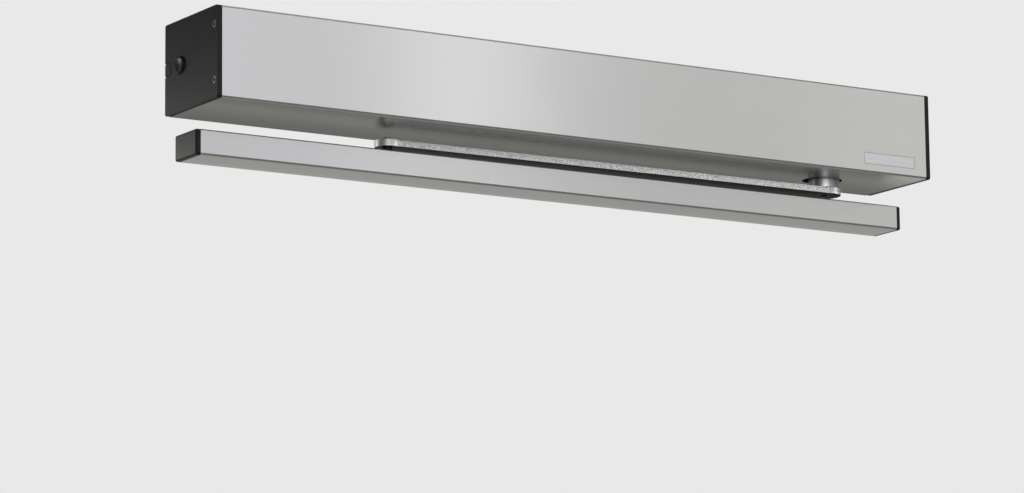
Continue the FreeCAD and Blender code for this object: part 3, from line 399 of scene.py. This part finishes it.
# Bare plate in the recess at the front's right end: satin aluminium with a bevelled rim
badge = {"centre": (0.2472, -0.0199), "size": (0.0434, 0.0076), "back": -0.07067,
         "front": -0.07096, "corner": 0.0004, "cornerSteps": 4, "rim": 0.00012, "rimSteps": 2,
         "darkHex": "#D9DCDF", "lightHex": "#E6E9EC", "roughness": 0.34}


def makeBadge():
    thick = badge["back"] - badge["front"]
    size = (badge["size"][0], thick, badge["size"][1])
    middle = (badge["centre"][0], badge["back"] - thick / 2, badge["centre"][1])
    bm = bmesh.new()
    bmesh.ops.create_cube(bm, size=1.0)
    bmesh.ops.scale(bm, verts=bm.verts, vec=size)
    bmesh.ops.translate(bm, verts=bm.verts, vec=middle)
    corners = [e for e in bm.edges if abs(e.verts[0].co.y - e.verts[1].co.y) > thick / 2]
    bmesh.ops.bevel(bm, geom=corners, offset=badge["corner"], affect="EDGES",
                    segments=badge["cornerSteps"], profile=0.5, material=-1)
    rim = [e for e in bm.edges if all(v.co.y < badge["front"] + thick / 4 for v in e.verts)]
    bmesh.ops.bevel(bm, geom=rim, offset=badge["rim"], affect="EDGES",
                    segments=badge["rimSteps"], profile=0.5, material=-1)
    mesh = bpy.data.meshes.new("badgePlate")
    bm.to_mesh(mesh)
    bm.free()
    mesh.materials.append(satinAnodisedAluminium("brushedBadgePlate", badge["darkHex"],
                                                 badge["lightHex"], badge["roughness"]))
    plate = bpy.data.objects.new("badgePlate", mesh)
    bpy.context.collection.objects.link(plate)
    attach(plate, "operator")


makeBadge()
print("badge plate done")


# Stage: a pale floor far below the box, and the dim studio round it
stage = {"floorZ": -2.7, "floorSize": 60.0, "seenHex": "#E9E9E9", "floorHex": "#C8C8C5",
         "roomHex": "#8E8E8C", "roomStrength": 0.8}


def seenOrLit(tree, seenHex, litShader):
    # The camera sees an even pale tone, while reflections see the real light of the studio
    seen = addNode(tree, "Emission", {"Color": linearColour(seenHex), "Strength": 1.0})
    path = addNode(tree, "LightPath").outputs["Is Camera Ray"]
    mix = addNode(tree, "MixShader", None, {0: path, 1: litShader.outputs[0], 2: seen.outputs[0]})
    return mix.outputs[0]


def makeFloor():
    mesh = bpy.data.meshes.new("floor")
    bm = bmesh.new()
    bmesh.ops.create_grid(bm, x_segments=1, y_segments=1, size=stage["floorSize"] / 2)
    bmesh.ops.translate(bm, verts=bm.verts, vec=(0, 0, stage["floorZ"]))
    bm.to_mesh(mesh)
    bm.free()
    floor = bpy.data.objects.new("floor", mesh)
    bpy.context.collection.objects.link(floor)
    material = bpy.data.materials.new("paleFloor")
    material.use_nodes = True
    tree = material.node_tree
    tree.nodes.clear()
    matt = addNode(tree, "BsdfDiffuse", {"Color": linearColour(stage["floorHex"])})
    addNode(tree, "OutputMaterial", None, {"Surface": seenOrLit(tree, stage["seenHex"], matt)})
    mesh.materials.append(material)


def makeRoom():
    # As with the floor, the camera sees the pale tone and everything else sees the dim room
    world = bpy.data.worlds.new("studio")
    bpy.context.scene.world = world
    world.use_nodes = True
    tree = world.node_tree
    tree.nodes.clear()
    dimmed = {"Color": linearColour(stage["roomHex"]), "Strength": stage["roomStrength"]}
    dim = addNode(tree, "Background", dimmed)
    seen = addNode(tree, "Background", {"Color": linearColour(stage["seenHex"]), "Strength": 1.0})
    path = addNode(tree, "LightPath").outputs["Is Camera Ray"]
    mix = addNode(tree, "MixShader", None, {0: path, 1: dim.outputs[0], 2: seen.outputs[0]})
    addNode(tree, "OutputWorld", None, {"Surface": mix.outputs[0]})


# Soft boxes that the satin metal reflects. Each one stands at a compass angle from straight in
# front and a height angle, in degrees, at a distance in metres from the point that it shines on.
# Its size is in metres, its light is white unless it has a tint, and it turns to its point unless
# it has a direction to face. An accent lamp lights only the pieces that it names
centre = (0.0, -0.035, 0.0)
leftEnd = (-0.2825, -0.035, 0.0)
frontFace = (-0.105, -0.071, 0.0)
frontLeftEnd = (-0.31, -0.071, 0.0)
frontRightEnd = (0.27, -0.071, 0.0)
white, coolTint, warmTint = (1.0, 1.0, 1.0), (0.96, 0.95, 1.0), (1.0, 0.985, 0.94)
# What the low lamps share: each lies just behind the box, a distance below its middle, and faces
# outwards
onWall = {"turn": 180, "rise": -90, "at": (0.0, 0.003, 0.0), "face": (0, -1, 0),
          "tint": (1.0, 1.0, 0.88)}
lamps = {
    "frontCool": {"turn": 23, "rise": 12, "far": 5.0, "size": (1.92, 2.8), "watts": 9.4,
                  "at": centre, "tint": coolTint},
    "frontWarm": {"turn": 45, "rise": 12, "far": 5.0, "size": (1.92, 2.8), "watts": 9.0,
                  "at": centre, "tint": warmTint},
    "nearStrip": {"turn": 31.6, "rise": 12.5, "far": 0.9, "size": (0.06, 0.5), "watts": 0.13,
                  "at": frontFace},
    "leftStrip": {"turn": 28.3, "rise": 12.5, "far": 0.9, "size": (0.08, 0.5), "watts": 0.07,
                  "at": frontLeftEnd, "tint": coolTint},
    "rightStrip": {"turn": 37.9, "rise": 12.5, "far": 0.9, "size": (0.2, 0.5), "watts": 0.05,
                   "at": frontRightEnd, "tint": warmTint},
    "topFront": {"turn": 31, "rise": 58, "far": 3.0, "size": (2.4, 1.6), "watts": 4.4,
                 "at": centre},
    "frontLeft": {"turn": -22, "rise": 5, "far": 4.5, "size": (4.0, 2.8), "watts": 26,
                  "at": centre},
    "hubAccent": {"turn": -22, "rise": 5, "far": 4.5, "size": (1.6, 1.2), "watts": 62,
                  "at": centre, "only": ["hub_sleeveSmooth"]},
    "armAccent": {"turn": 56, "rise": 6, "far": 4.5, "size": (1.4, 1.4), "watts": 20,
                  "at": centre, "only": ["armSmooth"]},
    "rightFill": {"turn": 80, "rise": 12, "far": 4.5, "size": (2.8, 2.6), "watts": 10,
                  "at": centre},
    "endLamp": {"turn": -156, "rise": -2, "far": 0.35, "size": (0.24, 0.12), "watts": 0.13,
                "at": leftEnd},
    "backRight": {"turn": 140, "rise": 35, "far": 4.5, "size": (2.4, 1.6), "watts": 12,
                  "at": centre},
    "wallTop": dict(onWall, far=0.0355, size=(1.6, 0.011), watts=0.0025),
    "wallHigh": dict(onWall, far=0.0455, size=(1.6, 0.009), watts=0.0085),
    "wallMiddle": dict(onWall, far=0.057, size=(1.6, 0.014), watts=0.04),
    "wallLow": dict(onWall, far=0.232, size=(1.6, 0.336), watts=0.46, tint=warmTint),
}


def makeLamps():
    for name, lamp in lamps.items():
        turn, rise = math.radians(lamp["turn"]), math.radians(lamp["rise"])
        towards = Vector((math.sin(turn) * math.cos(rise), -math.cos(turn) * math.cos(rise),
                          math.sin(rise)))
        data = bpy.data.lights.new(name, "AREA")
        data.shape = "RECTANGLE"
        data.size, data.size_y = lamp["size"]
        data.energy = lamp["watts"]
        data.color = lamp.get("tint", white)
        holder = bpy.data.objects.new(name, data)
        holder.location = Vector(lamp["at"]) + towards * lamp["far"]
        holder.visible_camera = False
        shine = Vector(lamp["face"]) if "face" in lamp else -towards
        holder.rotation_euler = shine.to_track_quat("-Z", "Y").to_euler()
        bpy.context.collection.objects.link(holder)
        if "only" in lamp:
            lit = bpy.data.collections.new(name + "Shines")
            for piece in lamp["only"]:
                lit.objects.link(bpy.data.objects[piece])
            holder.light_linking.receiver_collection = lit


# Camera: below and to the left of the box, with a long lens, as in the photograph
shot = {"at": (-1.52516, -2.38713, -0.59333), "yaw": 32.243, "pitch": 10.066, "roll": 0.619,
        "lensMm": 149.56, "sensorMm": 36}


def makeCamera():
    yaw, pitch, roll = (math.radians(shot[angle]) for angle in ("yaw", "pitch", "roll"))
    ahead = Vector((math.sin(yaw) * math.cos(pitch), math.cos(yaw) * math.cos(pitch),
                    math.sin(pitch)))
    right = Vector((math.cos(yaw), -math.sin(yaw), 0))
    up = right.cross(ahead)
    across = right * math.cos(roll) - up * math.sin(roll)
    upward = right * math.sin(roll) + up * math.cos(roll)
    data = bpy.data.cameras.new("camera")
    data.sensor_width = shot["sensorMm"]
    data.lens = shot["lensMm"]
    camera = bpy.data.objects.new("camera", data)
    turn = Matrix((across, upward, -ahead)).transposed().to_4x4()
    camera.matrix_world = Matrix.Translation(shot["at"]) @ turn
    bpy.context.collection.objects.link(camera)
    bpy.context.scene.camera = camera


makeFloor()
makeLamps()
makeRoom()
makeCamera()
bpy.context.scene.view_settings.view_transform = "Standard"
print("stage, lights and camera done")
